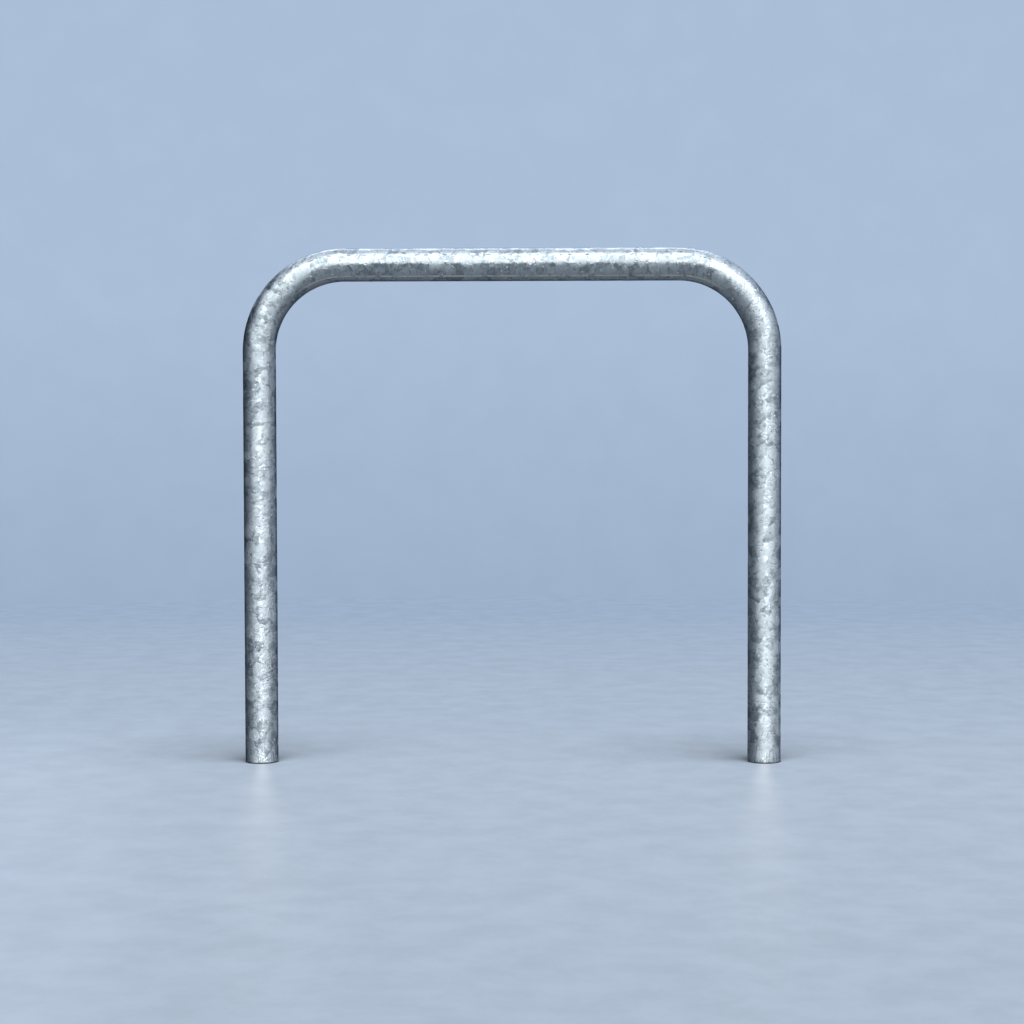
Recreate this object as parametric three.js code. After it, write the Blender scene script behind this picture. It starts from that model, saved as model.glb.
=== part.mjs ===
// A hoop bike rack: one steel tube bent into an upside-down U, hot-dip galvanised,
// with a ribbed plastic insert pushed into the open end of each leg.
// Millimetres, +Z up. X runs along the bar and Y through the hoop.
// The origin is on the floor, halfway between the legs.
import * as THREE from "three";

// The hoop
const hoopHeight = 750; // floor to the top of the bar
const legSpacing = 736; // leg centreline to leg centreline
const bendRadius = 125; // to the centreline of the tube

// The tube
const tubeDiameter = 48.3; // outside
const tubeWall = 3.2;
const endChamfer = 0.6; // on both edges of each cut end, where the saw burr was taken off

// The insert in each foot
const lipThickness = 1.5; // the rim that shows between the tube and the floor
const lipOverhang = 0.6; // how far that rim stands proud of the tube all round
const lipChamfer = 0.4;
const plugLength = 24; // above the rim, inside the bore
const finDepth = 3.6; // from the plug's core out to the tips of its fins
const finRoot = 1.9; // thickness at the core
const finTip = 0.9; // thickness at the tip
const finDroop = 0.8; // how much lower the tip sits, as pushing in drags the fins back
const finClearance = 0.3; // between the fin tips and the bore
const collarLength = 2.6; // plain core between the rim and the first fin
const leadLength = 3; // plain core above the last fin
const leadChamfer = 1.2; // on the core's upper edge, to start it in the bore
const cupWall = 2.2; // of the hollow core, at its mouth
const cupDraft = 0.5; // how much thicker that wall is at the bottom
const cupFloor = 3.5; // from the floor up to the inside of the core

// Counts
const roundSides = 48;
const bendSteps = 15;
const finCount = 4;

// Worked out from the sizes above
const tubeRadius = tubeDiameter / 2;
const boreRadius = tubeRadius - tubeWall;
const wallMiddleRadius = (tubeRadius + boreRadius) / 2;
const legOffset = legSpacing / 2;
const barHeight = hoopHeight - tubeRadius;
const bendHeight = barHeight - bendRadius;
const bendOffset = legOffset - bendRadius;
const quarterTurn = Math.PI / 2;

// Bending thins the wall outside the bend and thickens it inside by about the same amount,
// so halfway round the bend the bore lies this far outwards of the tube's centre.
const greatestBoreShift = (tubeWall * wallMiddleRadius) / bendRadius;

const galvanisedSteel = new THREE.MeshStandardMaterial({
  color: 0xa9b1b6,
  roughness: 0.36,
  metalness: 0.9,
});
const blackPolyethylene = new THREE.MeshStandardMaterial({
  color: 0x22262a,
  roughness: 0.6,
  metalness: 0,
});

// A place on the tube's centreline. The heading is 0 going up the left leg, a quarter turn along
// the bar and a half turn going down the right leg; outwards points away from the hoop's opening.
function station(centre, heading, boreShift = 0) {
  const outwards = new THREE.Vector3(-Math.cos(heading), 0, Math.sin(heading));
  return { centre, outwards, boreShift };
}

function footStation(side, height) {
  const heading = side < 0 ? 0 : 2 * quarterTurn;
  return station(new THREE.Vector3(side * legOffset, 0, height), heading);
}

// The stations round one bend, which turns by a quarter from its first heading.
function bendStations(side, firstHeading) {
  const bendCentre = new THREE.Vector3(side * bendOffset, 0, bendHeight);
  return Array.from({ length: bendSteps + 1 }, (_, step) => {
    const turned = step / bendSteps;
    const shift = greatestBoreShift * Math.sin(Math.PI * turned);
    const place = station(bendCentre, firstHeading + turned * quarterTurn, shift);
    place.centre = bendCentre.clone().addScaledVector(place.outwards, bendRadius);
    return place;
  });
}

// A circle of points round the centreline at a station, square to the tube.
function ring({ centre, outwards }, radius, shift = 0) {
  return Array.from({ length: roundSides }, (_, side) => {
    const angle = (side / roundSides) * 4 * quarterTurn;
    const point = centre.clone();
    point.addScaledVector(outwards, shift + radius * Math.cos(angle));
    point.y += radius * Math.sin(angle);
    return point;
  });
}

// The closed surface over rings of equally many points, the last ring joined to the first.
function surfaceThrough(rings) {
  const positions = rings.flat().flatMap((point) => point.toArray());
  const indices = [];
  rings.forEach((_, row) => {
    const here = row * roundSides;
    const next = ((row + 1) % rings.length) * roundSides;
    for (let side = 0; side < roundSides; side++) {
      const beside = (side + 1) % roundSides;
      indices.push(here + side, next + beside, here + beside);
      indices.push(here + side, next + side, next + beside);
    }
  });
  const geometry = new THREE.BufferGeometry();
  geometry.setAttribute("position", new THREE.Float32BufferAttribute(positions, 3));
  geometry.setIndex(indices);
  geometry.computeVertexNormals();
  return geometry;
}

// The bent tube. Its outside runs from the left foot to the right one, turns in over the cut end
// and comes back as the bore, so that one closed skin holds the whole wall.
function hoopTubeGeometry() {
  const cut = [-1, 1].map((side) => footStation(side, lipThickness));
  const edge = [-1, 1].map((side) => footStation(side, lipThickness + endChamfer));
  const bends = [...bendStations(-1, 0), ...bendStations(1, quarterTurn)];
  const along = [edge[0], ...bends, edge[1]];
  const outside = along.map((place) => ring(place, tubeRadius));
  const bore = along.map((place) => ring(place, boreRadius, place.boreShift));
  const cutEnds = cut.map((place) => [
    ring(place, tubeRadius - endChamfer),
    ring(place, boreRadius + endChamfer),
  ]);
  return surfaceThrough([...outside, ...cutEnds[1], ...bore.reverse(), ...cutEnds[0].reverse()]);
}

// The insert: a flat disc that closes the foot, and above it a hollow core with fins round it
// that grip the bore. The profile starts and ends on the axis, as radius and height.
function footInsertGeometry() {
  const lipRadius = tubeRadius + lipOverhang;
  const finRadius = boreRadius - finClearance;
  const coreRadius = finRadius - finDepth;
  const coreTop = lipThickness + plugLength;
  const finSpace = plugLength - collarLength - leadLength - finRoot;
  const firstFin = lipThickness + collarLength;
  const profile = [
    [0, 0],
    [lipRadius - lipChamfer, 0],
    [lipRadius, lipChamfer],
    [lipRadius, lipThickness],
    [coreRadius, lipThickness],
  ];
  for (let fin = 0; fin < finCount; fin++) {
    const rootBottom = firstFin + (fin * finSpace) / (finCount - 1);
    const tipBottom = rootBottom - finDroop;
    profile.push(
      [coreRadius, rootBottom],
      [finRadius, tipBottom],
      [finRadius, tipBottom + finTip],
      [coreRadius, rootBottom + finRoot],
    );
  }
  profile.push(
    [coreRadius, coreTop - leadChamfer],
    [coreRadius - leadChamfer, coreTop],
    [coreRadius - cupWall, coreTop],
    [coreRadius - cupWall - cupDraft, cupFloor],
    [0, cupFloor],
  );
  const outline = profile.map(([radius, height]) => new THREE.Vector2(radius, height));
  return new THREE.LatheGeometry(outline, roundSides).rotateX(quarterTurn);
}

function footInsert(name, side) {
  const insert = new THREE.Mesh(footInsertGeometry(), blackPolyethylene);
  insert.name = name;
  insert.position.x = side * legOffset;
  return insert;
}

function hoopTube() {
  const tube = new THREE.Mesh(hoopTubeGeometry(), galvanisedSteel);
  tube.name = "hoop_tube";
  return tube;
}

const hoopBikeRack = new THREE.Group();
hoopBikeRack.add(
  hoopTube(),
  footInsert("foot_insert_left", -1),
  footInsert("foot_insert_right", 1),
);

export default hoopBikeRack;
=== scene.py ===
"""Studio picture of a hoop bike rack: a galvanised steel tube on two plastic foot inserts.

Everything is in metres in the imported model's frame: X along the bar, Y through the hoop, Z up,
with the origin on the floor between the legs.
"""
from math import cos, pi, radians

import bpy
import numpy as np
from mathutils import Euler, Matrix, Vector


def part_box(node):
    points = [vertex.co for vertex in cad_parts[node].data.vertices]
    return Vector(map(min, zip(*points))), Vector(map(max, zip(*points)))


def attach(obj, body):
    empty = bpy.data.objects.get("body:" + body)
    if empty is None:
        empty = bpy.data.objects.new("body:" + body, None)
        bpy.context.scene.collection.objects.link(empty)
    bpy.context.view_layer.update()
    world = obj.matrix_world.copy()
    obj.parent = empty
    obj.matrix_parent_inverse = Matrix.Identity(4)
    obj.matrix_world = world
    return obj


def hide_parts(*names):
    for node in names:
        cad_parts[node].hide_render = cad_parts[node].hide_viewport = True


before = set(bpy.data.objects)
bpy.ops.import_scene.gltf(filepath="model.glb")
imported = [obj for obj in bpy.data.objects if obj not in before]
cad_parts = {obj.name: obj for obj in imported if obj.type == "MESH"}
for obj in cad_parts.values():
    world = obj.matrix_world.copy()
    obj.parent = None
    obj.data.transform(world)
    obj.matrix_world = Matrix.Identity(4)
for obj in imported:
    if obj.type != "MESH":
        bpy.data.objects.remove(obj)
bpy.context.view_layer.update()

MM = 0.001
QUARTER = pi / 2
TURN = 2 * pi

# The tube's sizes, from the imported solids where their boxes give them
hoop_low, hoop_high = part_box("hoop_tube")
insert_low, insert_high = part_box("foot_insert_right")
TUBE_RADIUS = hoop_high.y
TUBE_WALL = 3.2 * MM
BORE_RADIUS = TUBE_RADIUS - TUBE_WALL
BEND_RADIUS = 125 * MM
END_ROUND = 0.6 * MM
FOOT_HEIGHT = hoop_low.z
LEG_OFFSET = hoop_high.x - TUBE_RADIUS
BAR_HEIGHT = hoop_high.z - TUBE_RADIUS

LEG_LENGTH = BAR_HEIGHT - BEND_RADIUS - FOOT_HEIGHT
BEND_LENGTH = BEND_RADIUS * QUARTER
BAR_LENGTH = 2 * (LEG_OFFSET - BEND_RADIUS)
TUBE_LENGTH = 2 * (LEG_LENGTH + BEND_LENGTH) + BAR_LENGTH

# How finely the tube is meshed
SIDES = 96
OUTSIDE_RINGS = 880
BORE_RINGS = 60
LIP_RINGS = 4

# The relief of the zinc on the tube's outside, as waves
RELIEF_DEPTH = 0.24 * MM
RELIEF_SEED = 11
WAVE_COUNT = 70
MOST_CRESTS = 9
SHORTEST_WAVE = 14 * MM
LONGEST_WAVE = 70 * MM
LEAST_SHARE = 0.3

# The insert's sizes, as in its solid
LIP_THICKNESS = FOOT_HEIGHT
LIP_RADIUS = (insert_high.x - insert_low.x) / 2
INSERT_HEIGHT = insert_high.z
FIN_CLEARANCE = 0.3 * MM
FIN_DEPTH = 3.6 * MM
FIN_ROOT = 1.9 * MM
FIN_TIP = 0.9 * MM
FIN_DROOP = 0.8 * MM
FIN_COUNT = 4
COLLAR_LENGTH = 2.6 * MM
LEAD_LENGTH = 3.0 * MM
LEAD_CHAMFER = 1.2 * MM
CUP_WALL = 2.2 * MM
CUP_DRAFT = 0.5 * MM
CUP_FLOOR = 3.5 * MM
EDGE_ROUND = 0.35 * MM
EDGE_STEPS = 4
SHORT_SIDE_SHARE = 0.4
INSERT_SIDES = 128

# The camera, fitted to the edges of the legs, the bar and the feet in the photograph
IMAGE_PX = 1024
FOCAL_PX = 2000
SENSOR_MM = 36
CAMERA_PLACE = Vector((0.0374, -2.9185, 0.4666))
CAMERA_YAW = radians(-0.734)
CAMERA_PITCH = radians(1.979)
CAMERA_ROLL = radians(-0.142)


def make_camera():
    """Looks along +Y, turned by the yaw, then down by the pitch, then rolled about its own axis."""
    data = bpy.data.cameras.new("camera")
    data.sensor_width = SENSOR_MM
    data.lens = FOCAL_PX * SENSOR_MM / IMAGE_PX
    camera = bpy.data.objects.new("camera", data)
    aimed = Euler((QUARTER - CAMERA_PITCH, 0, -CAMERA_YAW)).to_matrix()
    turned = aimed @ Matrix.Rotation(CAMERA_ROLL, 3, "Z")
    camera.matrix_world = Matrix.Translation(CAMERA_PLACE) @ turned.to_4x4()
    bpy.context.scene.collection.objects.link(camera)
    bpy.context.scene.camera = camera


def mesh_object(name, points, faces, materials, smooth=True):
    """An object at the origin from an array of points and a list of faces."""
    mesh = bpy.data.meshes.new(name)
    mesh.from_pydata(points.tolist(), [], faces)
    for material in materials:
        mesh.materials.append(material)
    mesh.polygons.foreach_set("use_smooth", np.full(len(mesh.polygons), smooth))
    mesh.update()
    made = bpy.data.objects.new(name, mesh)
    bpy.context.scene.collection.objects.link(made)
    return made


def ring_faces(rows, sides, closed):
    """Quads between neighbouring rows of a grid that wraps round each row, and if closed also
    between the last row and the first. Seen from outside they run anticlockwise."""
    last = rows if closed else rows - 1
    row, side = np.meshgrid(np.arange(last), np.arange(sides), indexing="ij")
    beyond, beside = (row + 1) % rows, (side + 1) % sides
    corners = [
        row * sides + side,
        beyond * sides + side,
        beyond * sides + beside,
        row * sides + beside,
    ]
    return np.stack(corners, -1).reshape(-1, 4)


def hoop_centreline(distance):
    """Centreline points, outward directions and headings at these distances along the tube from
    its left foot. The place is a sum of five stretches, each held at its end once passed: up the
    left leg, round a quarter circle, along the bar, round another, and down the right leg."""
    to_bar = LEG_LENGTH + BEND_LENGTH
    to_bend = to_bar + BAR_LENGTH
    rise = np.clip(distance, 0, LEG_LENGTH)
    first = np.clip((distance - LEG_LENGTH) / BEND_RADIUS, 0, QUARTER)
    run = np.clip(distance - to_bar, 0, BAR_LENGTH)
    second = np.clip((distance - to_bend) / BEND_RADIUS, 0, QUARTER)
    drop = np.clip(distance - to_bend - BEND_LENGTH, 0, LEG_LENGTH)
    x = -LEG_OFFSET + BEND_RADIUS * (1 - np.cos(first) + np.sin(second)) + run
    z = FOOT_HEIGHT + rise + BEND_RADIUS * (np.sin(first) - 1 + np.cos(second)) - drop
    heading = first + second
    nothing = np.zeros_like(x)
    points = np.stack([x, nothing, z], -1)
    outwards = np.stack([-np.cos(heading), nothing, np.sin(heading)], -1)
    return points, outwards, heading


def zinc_relief(distance, angle):
    """How far the zinc lies under the CAD surface. It is a sum of cosine waves of random phase,
    each with a whole number of crests round the tube, scaled to run from none to its depth."""
    draw = np.random.default_rng(RELIEF_SEED)
    crests = draw.integers(-MOST_CRESTS, MOST_CRESTS + 1, WAVE_COUNT)
    wavelength = draw.uniform(SHORTEST_WAVE, LONGEST_WAVE, WAVE_COUNT)
    phase = draw.uniform(0, TURN, WAVE_COUNT)
    share = draw.uniform(LEAST_SHARE, 1.0, WAVE_COUNT)
    total = np.zeros((len(distance), len(angle)))
    for wave in range(WAVE_COUNT):
        along = TURN * distance / wavelength[wave] + phase[wave]
        total += share[wave] * np.cos(along[:, None] + crests[wave] * angle[None, :])
    total = (total - total.min()) / (total.max() - total.min())
    return RELIEF_DEPTH * (1 - total)


def tube_rings(distance, radius, shift=0.0):
    """Rings of points square to the centreline. A point lies at its angle round the ring, at the
    radius from a centre moved outwards by the shift. Radius is a number or one per point."""
    angle = np.arange(SIDES) / SIDES * TURN
    points, outwards, _ = hoop_centreline(distance)
    across = np.broadcast_to(radius, (len(distance), SIDES)) * np.cos(angle)
    deep = np.broadcast_to(radius, (len(distance), SIDES)) * np.sin(angle)
    reach = (across + np.broadcast_to(shift, (len(distance),))[:, None])[..., None]
    rings = points[:, None, :] + reach * outwards[:, None, :]
    rings[..., 1] += deep
    return rings


def end_lip(edge, inwards, relief):
    """The rounded edges of one cut end, outer and inner: two quarter circles that start at the
    tube's surface and at its bore and run to the flat of the cut at the edge."""
    turned = np.linspace(0, QUARTER, LIP_RINGS + 1)[1:]
    at = edge + inwards * END_ROUND * (1 - np.sin(turned))
    cut_back = (END_ROUND * (1 - np.cos(turned)))[:, None]
    outer = tube_rings(at, TUBE_RADIUS - relief[None, :] - cut_back)
    inner = tube_rings(at, BORE_RADIUS + cut_back)
    return outer, inner


def skin_uv(out_at, in_at):
    """For each face's four corners, how far along the skin and how far round the tube they lie.
    The length runs on over the right cut end, back along the bore and over the left cut end."""
    over_lip = np.linspace(0, TUBE_WALL, 2 * LIP_RINGS + 2)[1:-1]
    there = TUBE_LENGTH + TUBE_WALL
    row_at = np.concatenate(
        [
            out_at,
            TUBE_LENGTH + over_lip,
            there + TUBE_LENGTH - in_at,
            there + TUBE_LENGTH + over_lip,
            [2 * there],
        ]
    )
    row, side = np.meshgrid(np.arange(len(row_at) - 1), np.arange(SIDES), indexing="ij")
    side_step = TURN * TUBE_RADIUS / SIDES
    corner_rows = np.stack([row, row + 1, row + 1, row], -1)
    corner_sides = np.stack([side, side, side + 1, side + 1], -1) * side_step
    return np.stack([row_at[corner_rows], corner_sides], -1)


def make_hoop_tube(zinc, bore_zinc):
    """The tube as one closed skin: rings run along the outside from the left foot to the right,
    turn in over the rounded cut end, come back along the bore and turn out again. In the bends
    the bore moves outwards by a sine of twice the heading, because bending thins the outer wall."""
    angle = np.arange(SIDES) / SIDES * TURN
    out_at = np.linspace(END_ROUND, TUBE_LENGTH - END_ROUND, OUTSIDE_RINGS)
    in_at = np.linspace(TUBE_LENGTH - END_ROUND, END_ROUND, BORE_RINGS)
    relief = zinc_relief(out_at, angle)
    outside = tube_rings(out_at, TUBE_RADIUS - relief)
    _, _, heading = hoop_centreline(in_at)
    middle_radius = (TUBE_RADIUS + BORE_RADIUS) / 2
    shift = TUBE_WALL * middle_radius / BEND_RADIUS * np.abs(np.sin(2 * heading))
    bore = tube_rings(in_at, BORE_RADIUS, shift)
    right_outer, right_inner = end_lip(TUBE_LENGTH, -1, relief[-1])
    left_outer, left_inner = end_lip(0, 1, relief[0])
    rings = np.concatenate(
        [outside, right_outer, right_inner[::-1], bore, left_inner, left_outer[::-1]]
    )
    faces = ring_faces(len(rings), SIDES, closed=True).tolist()
    hoop = mesh_object("galvanised_hoop", rings.reshape(-1, 3), faces, [zinc, bore_zinc])

    bore_start = OUTSIDE_RINGS + 2 * LIP_RINGS - 1
    row_of_face = np.repeat(np.arange(len(rings)), SIDES)
    in_bore = (row_of_face >= bore_start) & (row_of_face < bore_start + BORE_RINGS)
    hoop.data.polygons.foreach_set("material_index", in_bore.astype(np.int32))
    uv = hoop.data.uv_layers.new(name="tube")
    uv.data.foreach_set("uv", skin_uv(out_at, in_at).astype(np.float32).ravel())
    return hoop


def rounded_outline(corners):
    """The outline with each inner corner replaced by a short quadratic curve that leaves and
    meets its sides at the edge's rounding, or at a share of a side that is too short for it."""
    points = [np.array(corners[0])]
    for before, corner, after in zip(corners, corners[1:], corners[2:]):
        before, corner, after = (np.array(point, float) for point in (before, corner, after))
        back, on = before - corner, after - corner
        shorter = min(np.hypot(*back), np.hypot(*on))
        reach = min(EDGE_ROUND, SHORT_SIDE_SHARE * shorter)
        start = corner + back / np.hypot(*back) * reach
        end = corner + on / np.hypot(*on) * reach
        run = np.linspace(0, 1, EDGE_STEPS + 1)[:, None]
        left = 1 - run
        points.extend(left**2 * start + 2 * run * left * corner + run**2 * end)
    points.append(np.array(corners[-1]))
    return np.array(points)


def insert_corners():
    """The insert's outline as radius and height, from the axis under the lip, up over the fins
    and down the hollow core to the axis again."""
    fin_radius = BORE_RADIUS - FIN_CLEARANCE
    core = fin_radius - FIN_DEPTH
    first_fin = LIP_THICKNESS + COLLAR_LENGTH
    last_fin = INSERT_HEIGHT - LEAD_LENGTH - FIN_ROOT
    corners = [(0, 0), (LIP_RADIUS, 0), (LIP_RADIUS, LIP_THICKNESS), (core, LIP_THICKNESS)]
    for root in np.linspace(first_fin, last_fin, FIN_COUNT):
        tip = root - FIN_DROOP
        corners += [(core, root), (fin_radius, tip), (fin_radius, tip + FIN_TIP)]
        corners += [(core, root + FIN_ROOT)]
    inside = core - CUP_WALL
    corners += [(core, INSERT_HEIGHT - LEAD_CHAMFER), (core - LEAD_CHAMFER, INSERT_HEIGHT)]
    corners += [(inside, INSERT_HEIGHT), (inside - CUP_DRAFT, CUP_FLOOR), (0, CUP_FLOOR)]
    return corners


def make_insert(name, side, plastic):
    """The insert's outline turned round the leg's centreline, closed by a fan of triangles where
    it meets the axis, under the lip and on the floor of the core."""
    corners = insert_corners()
    outline = rounded_outline(corners)[1:-1]
    angle = np.arange(INSERT_SIDES) / INSERT_SIDES * TURN
    turned = np.stack([np.cos(angle), np.sin(angle)], -1)
    rings = np.empty((len(outline), INSERT_SIDES, 3))
    rings[..., :2] = outline[:, None, :1] * turned[None]
    rings[..., 2] = outline[:, None, 1]
    centres = np.array([[0, 0, corners[0][1]], [0, 0, corners[-1][1]]])
    points = np.concatenate([rings.reshape(-1, 3), centres])
    points[:, 0] += side * LEG_OFFSET

    quads = ring_faces(len(outline), INSERT_SIDES, closed=False)[:, ::-1]
    here = np.arange(INSERT_SIDES)
    beside = (here + 1) % INSERT_SIDES
    under = np.full(INSERT_SIDES, len(points) - 2)
    last_ring = (len(outline) - 1) * INSERT_SIDES
    bottom_fan = np.stack([under, beside, here], -1)
    top_fan = np.stack([under + 1, last_ring + here, last_ring + beside], -1)
    faces = quads.tolist() + bottom_fan.tolist() + top_fan.tolist()
    return mesh_object(name, points, faces, [plastic])


# The mix node's colours go by number, because several of its sockets have the same name
MIX_FACTOR = 0
MIX_FROM = 6
MIX_TO = 7
MIX_COLOUR = 2


class Nodes:
    """Adds nodes to one node tree, sets their values by input name and links what is a socket."""

    def __init__(self, tree):
        self.tree = tree

    def put(self, node, key, value):
        """Sets an input, named or numbered, to a value, or links a socket to it."""
        if isinstance(value, bpy.types.NodeSocket):
            self.tree.links.new(value, node.inputs[key])
        else:
            node.inputs[key].default_value = value

    def add(self, kind, settings=None, **inputs):
        """A new node. In an input's name an underscore stands for a space."""
        node = self.tree.nodes.new(kind)
        for key, value in (settings or {}).items():
            setattr(node, key, value)
        for key, value in inputs.items():
            self.put(node, key.replace("_", " "), value)
        return node

    def place(self):
        """The place on the piece, in its object's coordinates."""
        return self.add("ShaderNodeTexCoord").outputs["Object"]

    def parts(self, vector):
        """A vector's X, Y and Z."""
        return self.add("ShaderNodeSeparateXYZ", Vector=vector).outputs

    def joined(self, x=0.0, y=0.0, z=0.0):
        """A vector from its X, Y and Z."""
        return self.add("ShaderNodeCombineXYZ", X=x, Y=y, Z=z).outputs[0]

    def noise(self, place, size, detail=2.0, roughness=0.5):
        """Noise whose patches are about this size."""
        node = self.add("ShaderNodeTexNoise", Vector=place, Scale=1 / size)
        node.inputs["Detail"].default_value = detail
        node.inputs["Roughness"].default_value = roughness
        return node.outputs["Fac"]

    def math(self, operation, *values):
        node = self.add("ShaderNodeMath", {"operation": operation})
        for index, value in enumerate(values):
            self.put(node, index, value)
        return node.outputs[0]

    def product(self, first, *others):
        """All the values multiplied."""
        for value in others:
            first = self.math("MULTIPLY", first, value)
        return first

    def highest(self, first, *others):
        """The largest of the values."""
        for value in others:
            first = self.math("MAXIMUM", first, value)
        return first

    def without(self, value):
        """What is left of one when the value is taken away."""
        return self.math("SUBTRACT", 1.0, value)

    def total(self, *shares):
        """The sum of sockets, each times its weight."""
        total = 0.0
        for socket, weight in shares:
            total = self.math("MULTIPLY_ADD", socket, weight, total)
        return total

    def vector(self, operation, *values):
        node = self.add("ShaderNodeVectorMath", {"operation": operation})
        for index, value in enumerate(values):
            self.put(node, index, value)
        return node.outputs["Value" if operation in ("LENGTH", "DOT_PRODUCT") else "Vector"]

    def scaled(self, vector, scale):
        node = self.add("ShaderNodeVectorMath", {"operation": "SCALE"})
        self.put(node, 0, vector)
        self.put(node, "Scale", scale)
        return node.outputs["Vector"]

    def ramp(self, value, start, end, low=0.0, high=1.0, kind="SMOOTHSTEP"):
        """A smooth step, or a straight one, from low, where the value is at the start, to high,
        where it is at the end. The start may be the larger of the two."""
        if start > end:
            start, end, low, high = end, start, high, low
        node = self.add("ShaderNodeMapRange", {"interpolation_type": kind}, Value=value)
        named = {"From Min": start, "From Max": end, "To Min": low, "To Max": high}
        for key, number in named.items():
            self.put(node, key, number)
        return node.outputs[0]

    def slope(self, value, start, end, low=0.0, high=1.0):
        """The straight kind of ramp."""
        return self.ramp(value, start, end, low, high, "LINEAR")

    def mix(self, factor, colour, other):
        """The first colour, turned into the other by the factor."""
        node = self.add("ShaderNodeMix", {"data_type": "RGBA"})
        self.put(node, MIX_FACTOR, factor)
        self.put(node, MIX_FROM, colour)
        self.put(node, MIX_TO, other)
        return node.outputs[MIX_COLOUR]


FLOAT = "NodeSocketFloat"
VECTOR = "NodeSocketVector"
MIDDLE_GREY = (0.5, 0.5, 0.5)


def new_group(name, inputs, outputs):
    """An empty node group with these inputs and outputs, each as its name and type."""
    tree = bpy.data.node_groups.new(name, "ShaderNodeTree")
    for way, sockets in (("INPUT", inputs), ("OUTPUT", outputs)):
        for label, kind in sockets:
            tree.interface.new_socket(label, in_out=way, socket_type=kind)
    given = tree.nodes.new("NodeGroupInput").outputs
    result = tree.nodes.new("NodeGroupOutput").inputs
    return tree, given, result


def place_group(nodes, tree, **inputs):
    return nodes.add("ShaderNodeGroup", {"node_tree": tree}, **inputs).outputs


def new_material(name):
    material = bpy.data.materials.new(name)
    material.use_nodes = True
    material.node_tree.nodes.clear()
    return material, Nodes(material.node_tree)


def finish_material(nodes, shader):
    output = nodes.add("ShaderNodeOutputMaterial")
    nodes.tree.links.new(shader.outputs[0], output.inputs["Surface"])


# The zinc's crystals. Raggedness and border are shares of a crystal's size, and the wander that
# makes them ragged is noise with this scale, detail and roughness
LARGE_CRYSTAL = 16 * MM
LARGE_RAGGED = 0.45
SMALL_CRYSTAL = 5.0 * MM
SMALL_RAGGED = 0.5
CRYSTAL_WANDER = (1.7, 3.0, 0.6)
BORDER_WIDTH = 0.09

# Other marks in the zinc's skin. A pair says where a mark starts to show and where it is full
BORDER_SHOWN = (0.42, 0.6)
FINE_GRAIN = 2.4 * MM
FINE_DETAIL = 3.5
FINE_ROUGHNESS = 0.65
WAVE_SIZE = 15 * MM
BORDER_PATCH = 18 * MM
WRINKLE_SIZE = 12 * MM
WRINKLE_WANDER = (1.6, 2.5, 0.5)
WRINKLE_RAGGED = 0.7
WRINKLE_LINE = (0.10, 0.03)
WRINKLE_GAP = 10 * MM
WRINKLE_GAP_DETAIL = 1.0
WRINKLE_SHOWN = (0.49, 0.57)
# The shift from a wrinkle's painted highlight to the painted shade beside it
WRINKLE_SHIFT = (1.4 * MM, 0.42 * MM, 0.0)
WRINKLE_SQUEEZE = 0.7
PIT_SPACING = 13 * MM
PIT_RADIUS = 1.3 * MM
PIT_EDGE = (1.0, 0.5)
# The lip under each pit carries a painted highlight, moved off the pit by its shift
PIT_LIP_RADIUS = 1.1 * PIT_RADIUS
PIT_LIP_EDGE = (1.0, 0.4)
PIT_LIP_SHIFT = (0.4 * PIT_RADIUS, 0.0, 1.2 * PIT_RADIUS)
SPECK_SPACING = 11 * MM
SPECK_RADIUS = 2.2 * MM
SPECK_EDGE = (1.0, 0.3)
FROST_SPACING = 28 * MM
FROST_RADIUS = 10 * MM
FROST_RAGGED = 0.8
FROST_EDGE = (1.5, 1.2)
OTHER_SPOTS_SHIFT = (0.3, 0.7, 0.5)
DRAIN_TOP = 32 * MM
DRAIN_FULL = 9.6 * MM
DRAIN_STREAK = 1.6 * MM
DRAIN_DETAIL = 3.0
DRAIN_STRETCH = (0.08, 1.0, 1.0)
BUMP_STEP = 0.1 * MM

# How much each mark counts in the zinc's tone, roughness, lean and height
TONE_LARGE = 0.48
TONE_SMALL = 0.32
TONE_FINE = 0.20
TONE_DRAINED = 2.0
DARKEST_TONE = 0.25
LIGHTEST_TONE = 0.74
ROUGH_LEAST = 0.30
ROUGH_LARGE = 0.13
ROUGH_SMALL = 0.08
ROUGH_FINE = 0.06
ROUGH_FROST = 0.42
LEAN_LARGE = 0.18
DOME_LARGE = 0.13
LEAN_SMALL = 0.28
DOME_SMALL = 0.14
LEAN_ALL_ROUND = 0.07
HEIGHT_WAVES = 0.7
HEIGHT_WRINKLE = 1.6
HEIGHT_BORDER = 0.5
HEIGHT_FINE = 0.25
HEIGHT_PIT = -1.5
HEIGHT_SPECK = 1.5
HEIGHT_DRAINED = 0.8

# The zinc's colours, and how strongly each mark takes its own
ZINC_DARK = (0.250, 0.279, 0.291, 1)
ZINC_LIGHT = (0.580, 0.617, 0.626, 1)
# The bright colour of specks and borders, which also paints the highlights on the wrinkles and on
# the pits' lips
BRIGHT_ZINC_AND_PAINTED_GLINT = (0.84, 0.87, 0.88, 1)
# Painted shade beside the wrinkles
PAINTED_WRINKLE_SHADE = (0.17, 0.19, 0.20, 1)
PIT_COLOUR = (0.06, 0.07, 0.08, 1)
SEAM_COLOUR = (0.93, 0.88, 0.80, 1)
EDGE_TINT = (0.24, 0.27, 0.33, 1)
# How strongly the painted shade and painted highlights of the wrinkles and the pits' lips show, and
# the other bright marks
PAINTED_SHADE_OF_WRINKLE = 0.45
PAINTED_SHINE_OF_WRINKLE = 0.28
PAINTED_SHINE_OF_PIT_LIP = 0.7
SHINE_OF_BORDER = 0.3
SHINE_OF_SPECK = 0.85
DEPTH_OF_PIT = 0.85
DEPTH_OF_SEAM = 0.9
DEPTH_OF_DASH = 0.8
DEPTH_OF_DIE = 0.4

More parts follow.
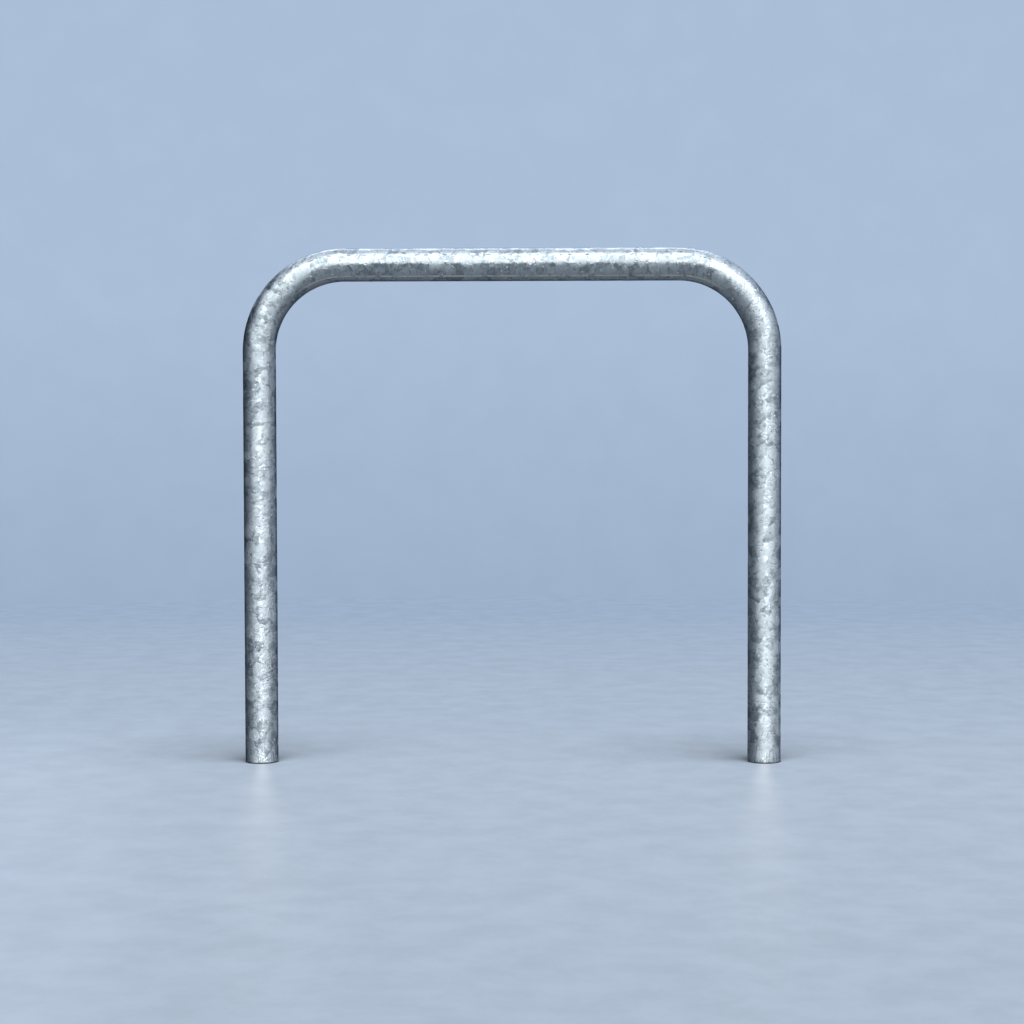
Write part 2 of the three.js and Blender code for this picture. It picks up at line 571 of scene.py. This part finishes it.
# Lines that run along the tube: their angle round it from its outer side, their width, the length
# of their pieces, and the noise level under which they are cut
SEAM_LINE = (radians(222), 2.0 * MM, 14 * MM, 0.36)
DASH_LINE = (radians(301), 1.4 * MM, 8 * MM, 0.52)
DIE_LINE = (radians(324), 1.2 * MM, 20 * MM, 0.36)
LINE_CORE = 0.35
LINE_CUT_SPAN = 0.09
LINE_START = LEG_LENGTH + 0.45 * BEND_LENGTH
LINE_FADE = 75 * MM


def warped_place(nodes, place, wander, ragged):
    """A place pushed about by noise, so that cells drawn on it have ragged borders."""
    scale, detail, roughness = wander
    noise = nodes.add(
        "ShaderNodeTexNoise", Vector=place, Scale=scale, Detail=detail, Roughness=roughness
    )
    pushed = nodes.vector("SUBTRACT", noise.outputs["Color"], MIDDLE_GREY)
    return nodes.vector("ADD", place, nodes.scaled(pushed, ragged))


def border_distance(nodes, place):
    """How far a place is from the nearest border between cells."""
    settings = {"feature": "DISTANCE_TO_EDGE"}
    edges = nodes.add("ShaderNodeTexVoronoi", settings, Vector=place, Scale=1.0)
    return edges.outputs["Distance"]


def spangle_group():
    """Zinc crystals: cells of about the given size. It gives each cell a random tone and a random
    direction, the way outwards from the cell's middle, and a mask along the borders."""
    tree, given, out = new_group(
        "zinc_spangle",
        [("Place", VECTOR), ("Size", FLOAT), ("Ragged", FLOAT)],
        [("Tone", FLOAT), ("Direction", VECTOR), ("Outwards", VECTOR), ("Border", FLOAT)],
    )
    nodes = Nodes(tree)
    counted = nodes.scaled(given["Place"], nodes.math("DIVIDE", 1.0, given["Size"]))
    warped = warped_place(nodes, counted, CRYSTAL_WANDER, given["Ragged"])
    cells = nodes.add("ShaderNodeTexVoronoi", Vector=warped, Scale=1.0)
    tone = nodes.add("ShaderNodeSeparateColor", Color=cells.outputs["Color"]).outputs[0]
    direction = nodes.vector("SUBTRACT", cells.outputs["Color"], MIDDLE_GREY)
    outwards = nodes.vector("SUBTRACT", warped, cells.outputs["Position"])
    border = nodes.ramp(border_distance(nodes, warped), BORDER_WIDTH, 0.0)
    nodes.tree.links.new(tone, out["Tone"])
    nodes.tree.links.new(direction, out["Direction"])
    nodes.tree.links.new(outwards, out["Outwards"])
    nodes.tree.links.new(border, out["Border"])
    return tree


def line_mask(nodes, uv, angle, width, piece, cut):
    """A thin line at one angle round the tube, along the bar and partly into the bends. Noise cuts
    it into lengths of about the given piece; a higher cut leaves less of it."""
    along, around, _ = nodes.parts(uv)
    off_line = nodes.math("ABSOLUTE", nodes.math("SUBTRACT", around, angle * TUBE_RADIUS))
    line = nodes.ramp(off_line, width, LINE_CORE * width)
    from_middle = nodes.math("ABSOLUTE", nodes.math("SUBTRACT", along, TUBE_LENGTH / 2))
    reach = TUBE_LENGTH / 2 - LINE_START
    inside = nodes.ramp(from_middle, reach, reach - LINE_FADE)
    cuts = nodes.noise(nodes.joined(along, angle), piece)
    return nodes.product(line, inside, nodes.ramp(cuts, cut, cut + LINE_CUT_SPAN))


def spots(nodes, place, spacing, radius):
    """Scattered round spots: how far from the nearest spot's middle, as shares of its radius."""
    points = nodes.add("ShaderNodeTexVoronoi", Vector=place, Scale=1 / spacing)
    return nodes.product(points.outputs["Distance"], spacing / radius)


def tube_place(nodes, uv, squeeze):
    """A place on the tube as its length and a circle round it, so that marks close on themselves.
    A squeezed circle makes them longer round the tube than along it."""
    along, around, _ = nodes.parts(uv)
    angle = nodes.math("DIVIDE", around, TUBE_RADIUS)
    across = nodes.product(nodes.math("COSINE", angle), squeeze * TUBE_RADIUS)
    deep = nodes.product(nodes.math("SINE", angle), squeeze * TUBE_RADIUS)
    return nodes.joined(along, across, deep)


def wrinkles(nodes, place):
    """Thin lines along some of the borders of cells, where the zinc set in folds."""
    counted = nodes.scaled(place, 1 / WRINKLE_SIZE)
    warped = warped_place(nodes, counted, WRINKLE_WANDER, WRINKLE_RAGGED)
    line = nodes.ramp(border_distance(nodes, warped), *WRINKLE_LINE)
    gaps = nodes.noise(place, WRINKLE_GAP, WRINKLE_GAP_DETAIL)
    return nodes.product(line, nodes.ramp(gaps, *WRINKLE_SHOWN))


def zinc_marks(nodes, place, uv, fine, small):
    """Masks for the marks in the skin: wrinkles with a painted highlight on one side and painted
    shade on the other, some of the crystals' borders, pits with a painted highlight on the lip
    under them, specks, frost and drained streaks."""
    along = tube_place(nodes, uv, WRINKLE_SQUEEZE)
    # Painted highlight on one side of each wrinkle, painted shade on the other
    ridge_with_painted_highlight = wrinkles(nodes, along)
    painted_shade_beside_ridge = wrinkles(nodes, nodes.vector("ADD", along, WRINKLE_SHIFT))
    pit = nodes.ramp(spots(nodes, place, PIT_SPACING, PIT_RADIUS), *PIT_EDGE)
    # Painted highlight on the lip under each pit
    below = nodes.vector("ADD", place, PIT_LIP_SHIFT)
    painted_pit_lip_glint = nodes.ramp(spots(nodes, below, PIT_SPACING, PIT_LIP_RADIUS), *PIT_LIP_EDGE)
    moved = nodes.vector("ADD", place, OTHER_SPOTS_SHIFT)
    round_frost = spots(nodes, moved, FROST_SPACING, FROST_RADIUS)
    frost = nodes.total((round_frost, 1.0), (fine, FROST_RAGGED))
    low = nodes.ramp(nodes.parts(place)[2], DRAIN_TOP, DRAIN_FULL)
    stretched = nodes.vector("MULTIPLY", uv, DRAIN_STRETCH)
    streaks = nodes.noise(stretched, DRAIN_STREAK, DRAIN_DETAIL)
    border_shown = nodes.ramp(nodes.noise(place, BORDER_PATCH), *BORDER_SHOWN)
    return {
        "ridge_with_painted_highlight": ridge_with_painted_highlight,
        "painted_shade_beside_ridge": nodes.product(painted_shade_beside_ridge, nodes.without(ridge_with_painted_highlight)),
        "border": nodes.product(small["Border"], border_shown),
        "pit": pit,
        "painted_pit_lip_glint": nodes.product(painted_pit_lip_glint, nodes.without(pit)),
        "speck": nodes.ramp(spots(nodes, moved, SPECK_SPACING, SPECK_RADIUS), *SPECK_EDGE),
        "frost": nodes.ramp(frost, *FROST_EDGE),
        "drained": nodes.product(low, nodes.math("SUBTRACT", streaks, 0.5)),
    }


def zinc_colour(nodes, uv, large, small, fine, marks):
    """Each crystal's tone, then the painted shade beside the wrinkles, the bright marks with the
    painted highlights, and the lines along the bar.
    """
    tone = nodes.total(
        (large["Tone"], TONE_LARGE),
        (small["Tone"], TONE_SMALL),
        (fine, TONE_FINE),
        (marks["drained"], TONE_DRAINED),
    )
    tone = nodes.math("ADD", tone, nodes.product(marks["frost"], fine))
    colour = nodes.mix(nodes.ramp(tone, DARKEST_TONE, LIGHTEST_TONE), ZINC_DARK, ZINC_LIGHT)
    # Painted shade beside the wrinkles, then painted highlights together with the bright marks
    colour = nodes.mix(nodes.product(marks["painted_shade_beside_ridge"], PAINTED_SHADE_OF_WRINKLE), colour, PAINTED_WRINKLE_SHADE)
    bright_and_painted_glint = nodes.highest(
        nodes.product(marks["ridge_with_painted_highlight"], PAINTED_SHINE_OF_WRINKLE),
        nodes.product(marks["painted_pit_lip_glint"], PAINTED_SHINE_OF_PIT_LIP),
        nodes.product(marks["border"], SHINE_OF_BORDER),
        nodes.product(marks["speck"], SHINE_OF_SPECK),
    )
    colour = nodes.mix(bright_and_painted_glint, colour, BRIGHT_ZINC_AND_PAINTED_GLINT)
    seam = line_mask(nodes, uv, *SEAM_LINE)
    colour = nodes.mix(nodes.product(seam, DEPTH_OF_SEAM), colour, SEAM_COLOUR)
    scored = nodes.total(
        (line_mask(nodes, uv, *DASH_LINE), DEPTH_OF_DASH),
        (line_mask(nodes, uv, *DIE_LINE), DEPTH_OF_DIE),
    )
    dark = nodes.highest(nodes.product(marks["pit"], DEPTH_OF_PIT), scored)
    return nodes.mix(dark, colour, PIT_COLOUR)


def zinc_normal(nodes, tangent, large, small, height):
    """The surface's normal: each crystal leans its own way and is domed, almost only along the
    tube, and the height of the marks is bumped on top."""
    leaning = nodes.scaled(large["Direction"], LEAN_LARGE)
    for way in (
        nodes.scaled(large["Outwards"], DOME_LARGE),
        nodes.scaled(small["Direction"], LEAN_SMALL),
        nodes.scaled(small["Outwards"], DOME_SMALL),
    ):
        leaning = nodes.vector("ADD", leaning, way)
    along = nodes.scaled(tangent, nodes.vector("DOT_PRODUCT", leaning, tangent))
    tilt = nodes.vector("ADD", along, nodes.scaled(leaning, LEAN_ALL_ROUND))
    flat = nodes.add("ShaderNodeNewGeometry").outputs["Normal"]
    tilted = nodes.vector("NORMALIZE", nodes.vector("ADD", flat, tilt))
    bump = nodes.add(
        "ShaderNodeBump", Strength=1.0, Distance=BUMP_STEP, Height=height, Normal=tilted
    )
    return bump.outputs[0]


def galvanised_material(spangle):
    """Hot-dip zinc: domed crystals of many tones that lean along the tube, waves where it ran,
    thin wrinkles with a painted highlight on one side and painted shade on the other, pits with a
    painted highlight under them, frosted patches and specks of dross. Its reflections are drawn out
    along the tube."""
    material, nodes = new_material("galvanised_zinc")
    place = nodes.place()
    uv = nodes.add("ShaderNodeUVMap", {"uv_map": "tube"}).outputs[0]
    settings = {"direction_type": "UV_MAP", "uv_map": "tube"}
    tangent = nodes.add("ShaderNodeTangent", settings).outputs[0]
    large = place_group(nodes, spangle, Place=place, Size=LARGE_CRYSTAL, Ragged=LARGE_RAGGED)
    small = place_group(nodes, spangle, Place=place, Size=SMALL_CRYSTAL, Ragged=SMALL_RAGGED)
    fine = nodes.noise(place, FINE_GRAIN, FINE_DETAIL, FINE_ROUGHNESS)
    marks = zinc_marks(nodes, place, uv, fine, small)
    rough = nodes.total(
        (large["Tone"], ROUGH_LARGE),
        (small["Tone"], ROUGH_SMALL),
        (fine, ROUGH_FINE),
        (marks["frost"], ROUGH_FROST),
    )
    height = nodes.total(
        (nodes.noise(place, WAVE_SIZE), HEIGHT_WAVES),
        (marks["ridge_with_painted_highlight"], HEIGHT_WRINKLE),
        (marks["border"], HEIGHT_BORDER),
        (fine, HEIGHT_FINE),
        (marks["pit"], HEIGHT_PIT),
        (marks["speck"], HEIGHT_SPECK),
        (marks["drained"], HEIGHT_DRAINED),
    )
    shader = nodes.add(
        "ShaderNodeBsdfPrincipled",
        Base_Color=zinc_colour(nodes, uv, large, small, fine, marks),
        Metallic=1.0,
        Roughness=nodes.math("ADD", rough, ROUGH_LEAST),
        Normal=zinc_normal(nodes, tangent, large, small, height),
        Tangent=tangent,
        Anisotropic=1.0,
        Specular_Tint=EDGE_TINT,
    )
    finish_material(nodes, shader)
    return material


# The zinc inside the tube
BORE_DARK = (0.20, 0.21, 0.22, 1)
BORE_LIGHT = (0.42, 0.44, 0.45, 1)
BORE_RAGGED = 0.8
BORE_PATCH = 6 * MM
BORE_PATCH_DETAIL = 4.0
BORE_TONE_CRYSTAL = 0.4
BORE_TONE_PATCH = 0.6
BORE_ROUGH_LEAST = 0.45
BORE_ROUGH_PATCH = 0.2


def bore_material(spangle):
    """The inside of the tube: the same zinc, duller and greyer."""
    material, nodes = new_material("bore_zinc")
    place = nodes.place()
    crystals = place_group(nodes, spangle, Place=place, Size=SMALL_CRYSTAL, Ragged=BORE_RAGGED)
    patches = nodes.noise(place, BORE_PATCH, BORE_PATCH_DETAIL)
    tone = nodes.total((crystals["Tone"], BORE_TONE_CRYSTAL), (patches, BORE_TONE_PATCH))
    bump = nodes.add("ShaderNodeBump", Strength=1.0, Distance=BUMP_STEP, Height=patches)
    shader = nodes.add(
        "ShaderNodeBsdfPrincipled",
        Base_Color=nodes.mix(tone, BORE_DARK, BORE_LIGHT),
        Metallic=1.0,
        Roughness=nodes.math("MULTIPLY_ADD", patches, BORE_ROUGH_PATCH, BORE_ROUGH_LEAST),
        Normal=bump.outputs[0],
    )
    finish_material(nodes, shader)
    return material


# The black plastic of the inserts
PLASTIC_GRAIN = 0.45 * MM
PLASTIC_BUMP = 0.08 * MM
PLASTIC_BUMP_STRENGTH = 0.35
SCUFF_SIZE = 8 * MM
SCUFF_DETAIL = 4.0
SCUFF_SHOWN = (0.45, 0.75)
PLASTIC_ROUGH = (0.5, 0.66)
PLASTIC_BLACK = (0.020, 0.022, 0.025, 1)
PLASTIC_SCUFFED = (0.045, 0.047, 0.05, 1)


def plastic_material():
    """Black moulded polyethylene with a fine grain and lighter, rougher scuffs."""
    material, nodes = new_material("moulded_polyethylene")
    place = nodes.place()
    grain = nodes.noise(place, PLASTIC_GRAIN)
    scuff = nodes.noise(place, SCUFF_SIZE, SCUFF_DETAIL)
    bump = nodes.add(
        "ShaderNodeBump", Strength=PLASTIC_BUMP_STRENGTH, Distance=PLASTIC_BUMP, Height=grain
    )
    shader = nodes.add(
        "ShaderNodeBsdfPrincipled",
        Base_Color=nodes.mix(nodes.ramp(scuff, *SCUFF_SHOWN), PLASTIC_BLACK, PLASTIC_SCUFFED),
        Roughness=nodes.ramp(scuff, 0.0, 1.0, *PLASTIC_ROUGH),
        Normal=bump.outputs[0],
    )
    finish_material(nodes, shader)
    return material


# The floor: a round sheet of pale paper. Near the hoop it has its own colour, and from where it
# dims, further back along Y or out at the rim, it turns into the wall's
FLOOR_RADIUS = 3.2
FLOOR_HUB = 0.1
FLOOR_SIDES = 96
FLOOR_RINGS = 24
RIM_START = 0.6 * FLOOR_RADIUS
RIM_END = 0.95 * FLOOR_RADIUS
DIM_START = -0.1
DIM_END = 2.6
DIMMED_AT = 0.9
FLOOR_NEAR = (0.447, 0.534, 0.656, 1)
FLOOR_MIRRORED = (0.440, 0.510, 0.590, 1)
FLOOR_SHINE = (0.184, 0.203, 0.232)
GLOW_SHARE_SEEN = 0.85
GLOW_SHARE_MIRRORED = 0.6
MIRRORED_BACK = 0.6
MIRRORED_FRONT = -2.8
MIRRORED_GLOW_BACK = 0.33
MIRRORED_GLOW_FRONT = 1.60

# Light and shade painted on the floor. The painted streaks of light run to a point before the
# hoop, and the painted light on the brighter left part is a fan round a point there
SHADE_REACH = 0.3
SHADE_NORMAL = (0.26, -0.96, 0.05)
SHADE_GAIN = 2.2
SHADE_SAMPLES = 32
CLOUD_SIZE = 0.07
CLOUD_DETAIL = 6.0
CLOUD_ROUGHNESS = 0.65
CLOUD_SPAN = (0.3, 0.7)
CLOUD_DARK = 0.953
CLOUD_LIGHT = 1.047
FRONT_START = -1.5
FRONT_END = -0.6
FRONT_LEVEL = 0.97
FAN_CENTRE = -2.9185
LEFT_EDGE = -0.26
LEFT_END = -0.14
LEFT_LEVEL = 1.08
LEFT_DEPTH = 0.3
STREAK_AIM = (0.0374, -2.9185)
# How the painted streak of light brightens the floor's colour, and its shape
STREAK_GAIN = (1.41, 1.34, 1.24, 1)
STREAK_WIDTH = 0.006
STREAK_SPREAD = 0.045
STREAK_REACH = 0.42
STREAK_START = 0.8 * TUBE_RADIUS
STREAK_FULL = 1.2 * TUBE_RADIUS
NO_GAIN = (1, 1, 1, 1)

# The room's wall, as the camera sees it
WALL_TOP = (0.405, 0.518, 0.683, 1)
WALL_FOOT = (0.339, 0.440, 0.591, 1)
WALL_CLOUD = 0.02
WALL_CLOUD_DETAIL = 3.0
WALL_CLOUD_DARK = 0.988
WALL_CLOUD_LIGHT = 1.012

# The lights that the hoop sees, and the ways to the camera's side and to the right
TO_CAMERA_SIDE = (0, -1, 0)
TO_RIGHT = (1, 0, 0)
DARK_SIDE = (0.075, 0.10, 0.13, 1)
LOW_FRONT_LEFT = (0.40, 0.47, 0.53, 1)
LOW_FRONT_RIGHT = (0.66, 0.75, 0.83, 1)
CEILING = (2.15, 2.30, 2.55, 1)
SIDE_CEILING = (1.00, 1.20, 1.52, 1)
CEILING_LEFT_LOSS = 0.62
BACK_LIGHT = (5.0, 5.3, 5.7, 1)
BACK_LIGHT_TOP_LEVEL = 0.55
RIGHT_FILL = (1.02, 1.22, 1.52, 1)
LEFT_FILL = (0.34, 0.41, 0.50, 1)
SOFTBOX = (3.85, 4.10, 4.35, 1)
SOFTBOX_LOW_WAY = (0.643, -0.766, 0.0)
SOFTBOX_HIGH_WAY = (0.087, -0.996, 0.0)
SOFTBOX_FALLOFF = 1.5
SOFTBOX_TOP_LEVEL = 0.7
CORE = (48.0, 52.0, 56.0, 1)
CORE_WAY = (0.085, -0.381, 0.921)
CORE_SIZE = radians(3.5)

# Where each starts and where it is full: up from the horizon as a sine, and ahead to the camera's
# side or right as the cosine of the level angle to it. The softbox turns from its low way to its
# high way, and towards the top it starts to weaken and is weakest
WALL_UP = (-0.08, 0.065)
WALL_AHEAD = (-0.88, -0.97)
LOW_FRONT_AHEAD = (0.2, 0.6)
LOW_FRONT_RIGHTWARDS = (-0.2, 0.5)
CEILING_UP = (0.28, 1.0)
CEILING_AHEAD = (-0.2, 0.6)
LOSS_LEFTWARDS = (0.1, -0.5)
LOSS_AHEAD = (0.6, 0.1)
LOSS_UP = (0.97, 0.8)
BACK_LIGHT_AHEAD = (-0.86, -0.97)
BACK_LIGHT_UP = (0.25, 0.5)
BACK_LIGHT_TOP = (0.985, 0.90)
RIGHT_FILL_RIGHTWARDS = (0.25, 0.75)
RIGHT_FILL_AHEAD = (-0.95, -0.6)
RIGHT_FILL_UP = (0.0, 0.2)
RIGHT_FILL_TOP = (0.55, 0.25)
LEFT_FILL_LEFTWARDS = (-0.5, -0.8)
LEFT_FILL_AHEAD = (-0.1, 0.2)
LEFT_FILL_UP = (0.0, 0.1)
LEFT_FILL_TOP = (0.75, 0.45)
SOFTBOX_SPREAD = (0.03, 1.0)
SOFTBOX_TURN_UP = (0.1, 0.45)
SOFTBOX_EDGE_UP = (0.09, 0.12)
SOFTBOX_TOP = (0.75, 1.0)
CORE_EDGE = (cos(1.2 * CORE_SIZE), cos(0.8 * CORE_SIZE))


def make_floor(material):
    """A flat disc: rings of points at radii that grow in even steps, turned round the Z axis."""
    radius = np.linspace(FLOOR_HUB, FLOOR_RADIUS, FLOOR_RINGS)
    angle = np.arange(FLOOR_SIDES) / FLOOR_SIDES * TURN
    rings = np.zeros((FLOOR_RINGS, FLOOR_SIDES, 3))
    rings[..., 0] = radius[:, None] * np.cos(angle)
    rings[..., 1] = radius[:, None] * np.sin(angle)
    faces = ring_faces(FLOOR_RINGS, FLOOR_SIDES, closed=False).tolist()
    faces.append(list(range(FLOOR_SIDES)))
    floor = mesh_object("floor", rings.reshape(-1, 3), faces, [material], smooth=False)


def painted_light_streak(nodes, x, y):
    """A painted streak of light on the floor before each leg: it starts at the foot and runs
    towards one point before the hoop. Across, it falls off as a bell curve whose width grows with
    the distance from the foot, and along, it fades by the same share in each step."""
    foot = nodes.product(nodes.math("SIGN", x), LEG_OFFSET)
    beside = nodes.math("SUBTRACT", x, foot)
    before = nodes.highest(nodes.product(y, -1.0), 0.0)
    aside = nodes.math("DIVIDE", nodes.math("SUBTRACT", STREAK_AIM[0], foot), -STREAK_AIM[1])
    off_streak = nodes.math("SUBTRACT", beside, nodes.product(aside, before))
    width = nodes.math("MULTIPLY_ADD", before, STREAK_SPREAD, STREAK_WIDTH)
    off = nodes.math("DIVIDE", off_streak, width)
    across = nodes.math("EXPONENT", nodes.product(off, off, -1.0))
    along = nodes.math("EXPONENT", nodes.math("DIVIDE", before, -STREAK_REACH))
    return nodes.product(across, along, nodes.ramp(before, STREAK_START, STREAK_FULL))


def floor_level(nodes, place, x, y, far):
    """How bright each place of the floor is for its colour: painted shade beside and behind what
    stands on it, soft clouds, a little less in the foreground, and painted light on the left,
    inside a fan from a point before the hoop. The shade's normal leans to the light, so that the
    shade falls away from it."""
    shade = nodes.add(
        "ShaderNodeAmbientOcclusion",
        {"samples": SHADE_SAMPLES},
        Distance=SHADE_REACH,
        Normal=nodes.joined(*SHADE_NORMAL),
    )
    level = nodes.math("MULTIPLY_ADD", shade.outputs["AO"], SHADE_GAIN, 1 - SHADE_GAIN)
    clouds = nodes.noise(place, CLOUD_SIZE, CLOUD_DETAIL, CLOUD_ROUGHNESS)
    aside = nodes.math("DIVIDE", x, nodes.math("SUBTRACT", y, FAN_CENTRE))
    left = nodes.ramp(aside, LEFT_EDGE, LEFT_END, LEFT_LEVEL, 1.0)
    return nodes.product(
        level,
        nodes.ramp(clouds, *CLOUD_SPAN, CLOUD_DARK, CLOUD_LIGHT),
        nodes.ramp(y, FRONT_START, FRONT_END, FRONT_LEVEL, 1.0),
        nodes.ramp(far, 0.0, LEFT_DEPTH, left, 1.0),
    )


def floor_material():
    """Paper that partly glows by itself, so that it shows about as it is written, and is partly
    lit, so that it holds the hoop's shadow. Towards its back and its rim only the wall's colour
    glows. In mirror images it has another colour, glows more in front and less behind."""
    material, nodes = new_material("floor_paper")
    place = nodes.place()
    x, y, _ = nodes.parts(place)
    rim = nodes.ramp(nodes.vector("LENGTH", place), RIM_START, RIM_END)
    far = nodes.highest(nodes.slope(y, DIM_START, DIM_END), rim)
    level = floor_level(nodes, place, x, y, far)
    # Painted shade, painted light on the left and the painted streaks of light, for both the glow
    # and the lit colour
    gain = nodes.scaled(nodes.mix(painted_light_streak(nodes, x, y), NO_GAIN, STREAK_GAIN), level)

    by_camera = nodes.add("ShaderNodeLightPath").outputs["Is Camera Ray"]
    seen = nodes.mix(nodes.slope(far, 0.0, DIMMED_AT), FLOOR_NEAR, WALL_FOOT)
    colour = nodes.vector("MULTIPLY", gain, nodes.mix(by_camera, FLOOR_MIRRORED, seen))
    mirrored = nodes.slope(
        y, MIRRORED_BACK, MIRRORED_FRONT, MIRRORED_GLOW_BACK, MIRRORED_GLOW_FRONT
    )
    strength = nodes.slope(by_camera, 0.0, 1.0, mirrored, 1.0)
    glow = nodes.add("ShaderNodeEmission", Color=colour, Strength=strength)
    lit = nodes.add(
        "ShaderNodeBsdfPrincipled",
        Base_Color=nodes.vector("MULTIPLY", gain, FLOOR_SHINE),
        Roughness=1.0,
        Specular_IOR_Level=0.0,
    )
    glow_share = nodes.slope(by_camera, 0.0, 1.0, GLOW_SHARE_MIRRORED, GLOW_SHARE_SEEN)
    mixed = nodes.add("ShaderNodeMixShader")
    nodes.put(mixed, 0, nodes.highest(glow_share, far))
    nodes.put(mixed, 1, lit.outputs[0])
    nodes.put(mixed, 2, glow.outputs[0])
    finish_material(nodes, mixed)
    return material


def ceiling_share(nodes, ahead, right, up):
    """The ceiling, stronger the higher up. On the left, except straight above, it loses a share."""
    left = nodes.product(
        nodes.ramp(right, *LOSS_LEFTWARDS),
        nodes.ramp(ahead, *LOSS_AHEAD),
        nodes.ramp(up, *LOSS_UP),
    )
    loss = nodes.product(left, CEILING_LEFT_LOSS)
    return nodes.product(nodes.ramp(up, *CEILING_UP), nodes.without(loss))


def softbox_share(nodes, level, up):
    """The softbox, from a clean lower edge up. Its low part faces the hoop from the right and its
    high part from the front, and it gets weaker towards its sides and its top."""
    low = nodes.vector("DOT_PRODUCT", level, SOFTBOX_LOW_WAY)
    high = nodes.vector("DOT_PRODUCT", level, SOFTBOX_HIGH_WAY)
    facing = nodes.slope(nodes.ramp(up, *SOFTBOX_TURN_UP), 0.0, 1.0, low, high)
    return nodes.product(
        nodes.math("POWER", nodes.slope(facing, *SOFTBOX_SPREAD), SOFTBOX_FALLOFF),
        nodes.ramp(up, *SOFTBOX_EDGE_UP),
        nodes.ramp(up, *SOFTBOX_TOP, 1.0, SOFTBOX_TOP_LEVEL),
    )


def make_room():
    """The world, by direction. The camera sees a pale wall that darkens towards the floor. The
    hoop sees this wall only straight behind. Over dark sides and a low front that is brighter on
    the right lie, each over the one before, a ceiling that is weaker at the sides, a light high
    behind, weak fills beside the hoop, the softbox, and its small bright core above."""
    world = bpy.data.worlds.new("room")
    bpy.context.scene.world = world
    world.use_nodes = True
    nodes = Nodes(world.node_tree)
    direction = nodes.add("ShaderNodeTexCoord").outputs["Generated"]
    x, y, up = nodes.parts(direction)
    level = nodes.vector("NORMALIZE", nodes.joined(x, y))
    ahead = nodes.vector("DOT_PRODUCT", level, TO_CAMERA_SIDE)
    right = nodes.vector("DOT_PRODUCT", level, TO_RIGHT)

    wall = nodes.mix(nodes.slope(up, *WALL_UP), WALL_FOOT, WALL_TOP)
    clouds = nodes.noise(direction, WALL_CLOUD, WALL_CLOUD_DETAIL)
    wall = nodes.scaled(wall, nodes.ramp(clouds, *CLOUD_SPAN, WALL_CLOUD_DARK, WALL_CLOUD_LIGHT))

    light = nodes.mix(nodes.ramp(ahead, *WALL_AHEAD), DARK_SIDE, wall)
    low_front = nodes.mix(nodes.ramp(right, *LOW_FRONT_RIGHTWARDS), LOW_FRONT_LEFT, LOW_FRONT_RIGHT)
    light = nodes.mix(nodes.ramp(ahead, *LOW_FRONT_AHEAD), light, low_front)
    ceiling = nodes.mix(nodes.ramp(ahead, *CEILING_AHEAD), SIDE_CEILING, CEILING)
    light = nodes.mix(ceiling_share(nodes, ahead, right, up), light, ceiling)
    behind = nodes.product(
        nodes.ramp(ahead, *BACK_LIGHT_AHEAD),
        nodes.ramp(up, *BACK_LIGHT_UP),
        nodes.ramp(up, *BACK_LIGHT_TOP, BACK_LIGHT_TOP_LEVEL, 1.0),
    )
    light = nodes.mix(behind, light, BACK_LIGHT)
    beside_right = nodes.product(
        nodes.ramp(right, *RIGHT_FILL_RIGHTWARDS),
        nodes.ramp(ahead, *RIGHT_FILL_AHEAD),
        nodes.ramp(up, *RIGHT_FILL_UP),
        nodes.ramp(up, *RIGHT_FILL_TOP),
    )
    light = nodes.mix(beside_right, light, RIGHT_FILL)
    beside_left = nodes.product(
        nodes.ramp(right, *LEFT_FILL_LEFTWARDS),
        nodes.ramp(ahead, *LEFT_FILL_AHEAD),
        nodes.ramp(up, *LEFT_FILL_UP),
        nodes.ramp(up, *LEFT_FILL_TOP),
    )
    light = nodes.mix(beside_left, light, LEFT_FILL)
    light = nodes.mix(softbox_share(nodes, level, up), light, SOFTBOX)
    to_core = nodes.vector("DOT_PRODUCT", direction, CORE_WAY)
    light = nodes.mix(nodes.ramp(to_core, *CORE_EDGE), light, CORE)

    by_camera = nodes.add("ShaderNodeLightPath").outputs["Is Camera Ray"]
    nodes.put(world.node_tree.nodes["Background"], "Color", nodes.mix(by_camera, light, wall))


bpy.context.scene.view_settings.view_transform = "Standard"
make_camera()
make_room()
make_floor(floor_material())

spangle = spangle_group()
hoop = make_hoop_tube(galvanised_material(spangle), bore_material(spangle))
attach(hoop, "root")
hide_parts("hoop_tube")

plastic = plastic_material()
for name, node, side in (
    ("left_insert", "foot_insert_left", -1),
    ("right_insert", "foot_insert_right", 1),
):
    insert = make_insert(name, side, plastic)
    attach(insert, "root")
    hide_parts(node)
